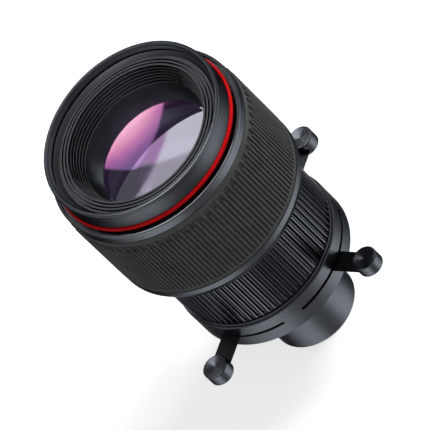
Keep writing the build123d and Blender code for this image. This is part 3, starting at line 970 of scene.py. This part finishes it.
@dataclass
class BaffleRing:
    """The black ring in the mouth: a dish, round grooves, sharp light-trap steps and a tube."""

    seat: float = 37.8 * MM
    dish: float = 35.95 * MM
    dish_drop: float = 1.4 * MM
    first_groove: float = 1.05 * MM
    groove: float = 0.62 * MM
    groove_depth: float = 1.1 * MM
    groove_count: int = 3
    land: float = 0.85 * MM
    land_drop: float = 0.3 * MM
    step_count: int = 6
    step_drop: float = 1.25 * MM
    trap: float = 0.34 * MM
    trap_depth: float = 0.9 * MM
    tube: float = 27.69 * MM
    tube_margin: float = 0.1 * MM
    wall: float = 1.2 * MM
    mouth: float = 25.7 * MM
    flange: float = 34.0 * MM
    flange_rise: float = 10.36 * MM
    seat_rise: float = 15.06 * MM
    soft: float = 0.12 * MM
    upright: float = 0.3

    def build(self) -> None:
        """Turns the ring's outline in the place of its node and dresses it."""
        low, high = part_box("baffle_ring")
        base, top = low.z, high.z
        outline: list[Corner] = [
            (self.mouth, base, 0.0),
            (self.tube + self.wall, base, 0.0),
            (self.tube + self.wall, base + self.flange_rise, 0.0),
            (self.flange, base + self.flange_rise, 0.0),
            (self.flange, base + self.seat_rise, 0.0),
            (self.seat, base + self.seat_rise, 0.0),
            (self.seat, top, self.soft),
            (self.dish, top - self.dish_drop, 0.0),
        ]
        radius, height = self.grooves(outline, top - self.land_drop)
        self.steps(outline, radius, height)
        piece = turned("light_trap_ring", rounded(outline), Body.FRONT)
        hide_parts("baffle_ring")
        BAFFLE.put_on(piece)
        TUBE_WALL.put_on_faces(piece, self.on_tube)
        LOG.info("baffle ring: %d grooves and %d steps", self.groove_count, self.step_count)

    def grooves(self, outline: list[Corner], land: float) -> Point:
        """Adds the round grooves, from the dish inwards.

        Args:
            outline: The corners so far, which this extends.
            land: Height of the flat lands between the grooves.

        Returns:
            Radius and height of the last land's inner edge.
        """
        radius = self.dish
        for index in range(self.groove_count):
            width = self.groove if index else self.first_groove
            if index:
                outline.append((radius, land - self.groove_depth, 0.0))
            outline += [
                (radius - width, land - self.groove_depth, 0.0),
                (radius - width, land, self.soft),
            ]
            radius -= width + self.land
            outline.append((radius, land, self.soft))
        return radius, land

    def steps(self, outline: list[Corner], radius: float, height: float) -> None:
        """Adds the steps, each with a narrow undercut at its foot.

        Args:
            outline: The corners so far, which this extends.
            radius: Radius where the steps start.
            height: Height where the steps start.
        """
        run = (radius - self.tube) / self.step_count
        for _ in range(self.step_count):
            height -= self.step_drop
            outline += [
                (radius, height - self.trap_depth, 0.0),
                (radius - self.trap, height - self.trap_depth, 0.0),
                (radius - self.trap, height, self.soft / 2.0),
            ]
            radius -= run
            outline.append((radius, height, self.soft))

    def on_tube(self, face: bpy.types.MeshPolygon) -> bool:
        """Says whether a face is part of the plain tube below the steps.

        Args:
            face: A face of the ring.

        Returns:
            True for the tube's inner wall.
        """
        away = math.hypot(face.center.x, face.center.y)
        return abs(face.normal.z) < self.upright and away < self.tube + self.tube_margin


@dataclass(frozen=True)
class LensElement:
    """One polished glass element with two spherical faces."""

    node: str
    body: Body
    finish: GlassFinish
    rear_bulge: float
    front_bulge: float
    land: float = 0.0
    rear_finish: GlassFinish | None = None
    rearward: float = -0.5
    rings: int = 48
    segments: int = 160

    def build(self) -> None:
        """Builds the element in the place of its node and dresses it."""
        low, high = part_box(self.node)
        radius = high.x
        rear = low.z + max(self.rear_bulge, 0.0)
        front = high.z - max(self.front_bulge, 0.0)
        outline = [(r, rear - h) for r, h in self.cap(radius, self.rear_bulge)]
        if self.land > 0.0:
            outline.append((radius, front))
        face = self.cap(radius - self.land, self.front_bulge)
        outline += [(r, front + h) for r, h in reversed(face)]
        piece = self.spin(outline)
        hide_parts(self.node)
        self.finish.put_on(piece)
        if self.rear_finish:
            self.rear_finish.put_on_faces(piece, lambda face: face.normal.z < self.rearward)
        LOG.info("lens element %s", self.node)

    def cap(self, radius: float, bulge: float) -> list[Point]:
        """Points of a spherical face above its rim.

        Args:
            radius: The face's radius at its rim.
            bulge: The height of the face's middle, negative for a hollow face.

        Returns:
            Radius and height above the rim, from the axis outwards.
        """
        sphere = (radius**2 + bulge**2) / (2.0 * abs(bulge))
        sink = sphere - abs(bulge)
        sign = math.copysign(1.0, bulge)
        radii = [radius * i / self.rings for i in range(self.rings + 1)]
        return [(r, sign * (math.sqrt(sphere**2 - r * r) - sink)) for r in radii]

    def spin(self, outline: Sequence[Point]) -> bpy.types.Object:
        """Turns an open outline that starts and ends on the axis.

        Args:
            outline: Radius and height of each point.

        Returns:
            The new object.
        """
        inner = outline[1:-1]
        count = len(inner)
        points = [around(0.0, 0.0, outline[0][1]), around(0.0, 0.0, outline[-1][1])]
        faces: list[tuple[int, ...]] = []
        for s in range(self.segments):
            points.extend(around(r, TURN * s / self.segments, z) for r, z in inner)
            here, there = 2 + s * count, 2 + (s + 1) % self.segments * count
            faces.append((0, there, here))
            faces.extend(
                (here + i, there + i, there + i + 1, here + i + 1) for i in range(count - 1)
            )
            faces.append((here + count - 1, there + count - 1, 1))
        return mesh_piece(self.node + "_glass", points, faces, self.body)


@dataclass
class Optics:
    """All the glass: three shaped elements, and the field lens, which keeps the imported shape."""

    elements: tuple[LensElement, ...] = (
        LensElement(
            "front_lens",
            Body.FRONT,
            FRONT_GLASS,
            rear_bulge=3.0 * MM,
            front_bulge=-4.0 * MM,
            land=3.21 * MM,
            rear_finish=BACK_GLASS,
        ),
        LensElement(
            "inner_lens", Body.FRONT, INNER_GLASS, rear_bulge=0.8 * MM, front_bulge=4.4 * MM
        ),
        LensElement(
            "zoom_lens", Body.ZOOM_CELL, REAR_GLASS, rear_bulge=1.6 * MM, front_bulge=3.2 * MM
        ),
    )

    def build(self) -> None:
        """Builds the elements and dresses the field lens."""
        for element in self.elements:
            element.build()
        REAR_GLASS.put_on(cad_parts["field_lens"])
        LOG.info("lens element field_lens")


@dataclass
class Hardware:
    """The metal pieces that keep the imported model's own shape."""

    turned_nodes: tuple[str, ...] = (
        "rear_tube",
        "shutter_housing",
        "focus_ring",
        "main_barrel",
        "divider_ring",
        "retaining_ring",
    )
    front_nodes: tuple[str, ...] = ("front_barrel",)
    inner_nodes: tuple[str, ...] = (
        "field_lens_ring",
        "rear_gate_plate",
        "front_gate_plate",
        "zoom_cell",
        "zoom_lens_ring",
        "inner_lens_ring",
        "lens_cell",
    )
    brass_nodes: tuple[str, ...] = ("gate_posts", "guide_keys", "cam_sleeve")
    steel_nodes: tuple[str, ...] = ("gate_screws", "follower_pins")
    enamel_nodes: tuple[str, ...] = ("red_ring",)
    shutter_count: int = 4

    def dress(self) -> None:
        """Gives each node its finish."""
        for names, finish in (
            (self.turned_nodes, TURNED),
            (self.front_nodes, FRONT),
            (self.inner_nodes, INNER),
            (self.brass_nodes, BRASS),
            (self.steel_nodes, STEEL),
            (self.enamel_nodes, ENAMEL),
        ):
            for name in names:
                finish.put_on(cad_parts[name])
            LOG.info("%s: %s", finish.name, ", ".join(names))
        for number in range(1, self.shutter_count + 1):
            self.dress_shutter(number)

    def dress_shutter(self, number: int) -> None:
        """Dresses one shutter's pieces, and gives its knob rings about the knob's own axis.

        Args:
            number: The shutter, from 1.
        """
        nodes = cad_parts
        STEEL.put_on(nodes[f"shutter_blade_{number}"])
        STEEL.put_on(nodes[f"knob_screw_{number}"])
        BRASS.put_on(nodes[f"shutter_shoe_{number}"])
        low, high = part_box(f"shutter_knob_{number}")
        middle = (low + high) / 2.0
        knob = replace(KNOB, name=f"{KNOB.name}_{number}", centre=(middle.x, middle.y, 0.0))
        knob.put_on(nodes[f"shutter_knob_{number}"])
        LOG.info("shutter %d dressed", number)


@dataclass(frozen=True)
class PhotoCamera:
    """The camera at the photograph's viewing angle."""

    place: Place = (1.7640, -1.0826, 2.1701)
    back: Place = (0.5997, -0.3675, 0.7108)
    up: Place = (-0.0460, 0.8710, 0.4892)
    focal_length: float = 614.16
    sensor: float = 36.0
    reach: float = 20.0

    def set_up(self) -> None:
        """Adds the camera and makes it the scene's own."""
        back = Vector(self.back).normalized()
        right = Vector(self.up).cross(back).normalized()
        turn = Matrix((right, back.cross(right), back)).transposed()
        data = bpy.data.cameras.new("camera")
        data.lens = self.focal_length
        data.sensor_width = self.sensor
        data.clip_end = self.reach
        camera = bpy.data.objects.new("camera", data)
        camera.matrix_world = Matrix.Translation(Vector(self.place)) @ turn.to_4x4()
        bpy.context.scene.collection.objects.link(camera)
        bpy.context.scene.camera = camera


@dataclass(frozen=True)
class PaleFloor:
    """The pale floor that the lens stands on."""

    size: float = 12.0
    tone: float = 0.9
    glow: float = 0.62

    def lay(self) -> None:
        """Adds the floor. Mirrors don't show it."""
        half = self.size / 2.0
        square = [(-half, -half, 0.0), (half, -half, 0.0), (half, half, 0.0), (-half, half, 0.0)]
        mesh = bpy.data.meshes.new("floor")
        mesh.from_pydata(square, [], [(0, 1, 2, 3)])
        mesh.materials.append(self.material())
        floor = bpy.data.objects.new("floor", mesh)
        bpy.context.scene.collection.objects.link(floor)
        floor.visible_glossy = False

    def material(self) -> bpy.types.Material:
        """Makes pale paper that glows to the camera, so that it meets the white background.

        Returns:
            The material.
        """
        material = bpy.data.materials.new("pale_floor")
        material.use_nodes = True
        graph = Graph(material.node_tree)
        paper = graph.add("BsdfDiffuse", Color=(self.tone, self.tone, self.tone, 1.0))
        path = graph.add("LightPath")
        seen = graph.maths(
            "MAXIMUM", path.outputs["Is Camera Ray"], path.outputs["Is Transmission Ray"]
        )
        level = graph.maths("MULTIPLY", seen, self.glow)
        light = graph.add("Emission", Color=(*WHITE, 1.0), Strength=level)
        both = graph.join("AddShader", paper.outputs["BSDF"], light.outputs["Emission"])
        graph.add("OutputMaterial", Surface=both)
        return material


@dataclass(frozen=True)
class StudioWorld:
    """Light from all round: tall soft panels, a soft box overhead and strips seen in glass."""

    panel_count: float = 2.8
    panel_phase_deg: float = 31.0
    panel_edge: float = 0.85
    panel_top: Point = (0.1, 0.5)
    bright: float = 1.12
    dim: float = 0.21
    overhead: float = 0.17
    front_deg: float = -10.0
    front_share: float = 8.0 / 7.0
    rear_share: float = 4.0 / 7.0
    fill_deg: float = 82.0
    fill: float = 0.50
    box_across: Point = (-0.52, 0.10)
    box_along: Point = (-0.45, 0.585)
    box_low: float = 0.15
    box_edge: float = 0.02
    box_level: float = 4.0
    through_level: float = 0.22
    strip_level: float = 0.90
    strip_tint: Colour = (1.15, 0.66, 1.12)
    strip_slopes: Point = (-0.653, 0.51)
    strip_skew: Point = (0.25, 0.0)
    strip_low: float = 0.05
    strip_edge: float = 0.015

    def light(self) -> None:
        """Makes the world. The camera sees it white, and mirrors and glass see the lights."""
        world = bpy.data.worlds.new("studio")
        world.use_nodes = True
        bpy.context.scene.world = world
        graph = Graph(world.node_tree)
        way = graph.add("SeparateXYZ", Vector=graph.add("TexCoord").outputs["Generated"])
        path = graph.add("LightPath")
        seen = path.outputs["Is Camera Ray"]
        through = path.outputs["Is Transmission Ray"]
        strips, tinted = self.strips(graph, way)
        box = graph.maths("MULTIPLY", self.soft_box(graph, way), path.outputs["Is Glossy Ray"])
        strength = self.panels(graph, way)
        for shown, power in ((seen, 1.0), (through, strips), (box, self.box_level)):
            strength = graph.maths("MAXIMUM", strength, graph.maths("MULTIPLY", shown, power))
        tint = graph.blend(graph.maths("MULTIPLY", tinted, through), WHITE, self.strip_tint)
        back = graph.add("Background", Color=tint, Strength=strength)
        graph.add("OutputWorld", Surface=back.outputs["Background"])

    def panels(self, graph: Graph, way: bpy.types.Node) -> Socket:
        """Level of the panels, which are brighter in front and fade into a dim ceiling.

        Args:
            graph: The world's node helper.
            way: The node that splits the direction.

        Returns:
            The level's socket.
        """
        azimuth = graph.maths("ARCTAN2", way.outputs["Y"], way.outputs["X"])
        wave = self.towards(graph, azimuth, self.panel_phase_deg, self.panel_count)
        edges = (-self.panel_edge, self.panel_edge)
        level = graph.fit(wave, edges, (self.dim, self.bright), soft=True)
        fill = graph.maths("MULTIPLY", self.towards(graph, azimuth, self.fill_deg), self.fill)
        level = graph.maths("MAXIMUM", level, fill)
        front = self.towards(graph, azimuth, self.front_deg)
        side = graph.fit(front, (-1.0, 1.0), (self.rear_share, self.front_share))
        level = graph.maths("MULTIPLY", level, side)
        above = graph.fit(way.outputs["Z"], self.panel_top)
        return graph.fit(above, (0.0, 1.0), (level, self.overhead))

    def towards(self, graph: Graph, azimuth: Socket, degrees: float, count: float = 1.0) -> Socket:
        """Wave round the horizon that is 1 in one direction.

        Args:
            graph: The world's node helper.
            azimuth: The socket of the angle about the optical axis.
            degrees: The direction of a crest.
            count: The number of waves in a turn.

        Returns:
            The wave's socket, from -1 to 1.
        """
        turn = graph.maths("SUBTRACT", azimuth, math.radians(degrees))
        return graph.maths("COSINE", graph.maths("MULTIPLY", turn, count))

    def strips(self, graph: Graph, way: bpy.types.Node) -> tuple[Socket, Socket]:
        """Level of two wide crossing strips of light that show through glass.

        Args:
            graph: The world's node helper.
            way: The node that splits the direction.

        Returns:
            The sockets of the level and of the share that the second strip has alone.
        """
        height = graph.maths("MAXIMUM", way.outputs["Z"], self.strip_low)
        slopes = [graph.maths("DIVIDE", way.outputs[axis], height) for axis in ("X", "Y")]
        level: object = self.through_level
        shares: list[Socket] = []
        for slope, other, edge, skew in zip(
            slopes, reversed(slopes), self.strip_slopes, self.strip_skew
        ):
            skewed = graph.maths("ADD", slope, graph.maths("MULTIPLY", other, skew))
            edges = (edge - self.strip_edge, edge + self.strip_edge)
            shares.append(graph.fit(skewed, edges, (1.0, 0.0)))
            strip = graph.maths("MULTIPLY", shares[-1], self.strip_level)
            level = graph.maths("ADD", level, strip)
        alone = graph.maths("MULTIPLY", shares[1], graph.maths("SUBTRACT", 1.0, shares[0]))
        return level, alone

    def soft_box(self, graph: Graph, way: bpy.types.Node) -> Socket:
        """Share of a large square soft box overhead that shows in a direction.

        Args:
            graph: The world's node helper.
            way: The node that splits the direction.

        Returns:
            The share's socket, from 0 to 1.
        """
        share = graph.maths("GREATER_THAN", way.outputs["Z"], self.box_low)
        for axis, (start, end) in (("X", self.box_across), ("Y", self.box_along)):
            slope = graph.maths("DIVIDE", way.outputs[axis], way.outputs["Z"])
            for edge, soft in ((start, self.box_edge), (end, -self.box_edge)):
                inside = graph.fit(slope, (edge - soft, edge + soft))
                share = graph.maths("MULTIPLY", share, inside)
        return share


@dataclass(frozen=True)
class SoftLamp:
    """A square soft lamp that mirrors don't show."""

    name: str
    place: Place
    aim: Place
    size: float
    power: float

    def hang(self) -> None:
        """Adds the lamp, turned towards its aim."""
        data = bpy.data.lights.new(self.name, "AREA")
        data.size = self.size
        data.energy = self.power
        lamp = bpy.data.objects.new(self.name, data)
        lamp.location = self.place
        lamp.visible_glossy = False
        way = Vector(self.aim) - Vector(self.place)
        lamp.rotation_euler = way.to_track_quat("-Z", "Y").to_euler()
        bpy.context.scene.collection.objects.link(lamp)


@dataclass
class Studio:
    """Camera, floor, world and lamps."""

    camera: PhotoCamera = PhotoCamera()
    floor: PaleFloor = PaleFloor()
    world: StudioWorld = StudioWorld()
    lamps: tuple[SoftLamp, ...] = (
        SoftLamp("front_box", place=(0.55, 1.15, 1.3), aim=(0.0, 0.0, 0.08), size=0.9, power=24.0),
        SoftLamp("side_box", place=(0.9, -1.1, 1.2), aim=(0.0, 0.0, 0.12), size=0.7, power=3.0),
    )

    def build(self) -> None:
        """Builds the whole studio."""
        self.camera.set_up()
        self.floor.lay()
        self.world.light()
        for lamp in self.lamps:
            lamp.hang()
        bpy.context.scene.view_settings.view_transform = "Standard"
        LOG.info("studio: %d lamps", len(self.lamps))


def corners(bounds: Iterable[Vector]) -> list[list[float]]:
    """Returns corner vectors as plain lists."""
    return [list(corner) for corner in bounds]


def main() -> None:
    """Builds every piece and the studio."""
    logging.basicConfig(level=logging.INFO, format="%(name)s: %(message)s")
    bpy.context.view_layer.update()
    Hardware().dress()
    RubberGrip().build()
    ZoomRing().build()
    FilterThread().build()
    BaffleRing().build()
    Optics().build()
    Studio().build()


if __name__ == "__main__":
    main()
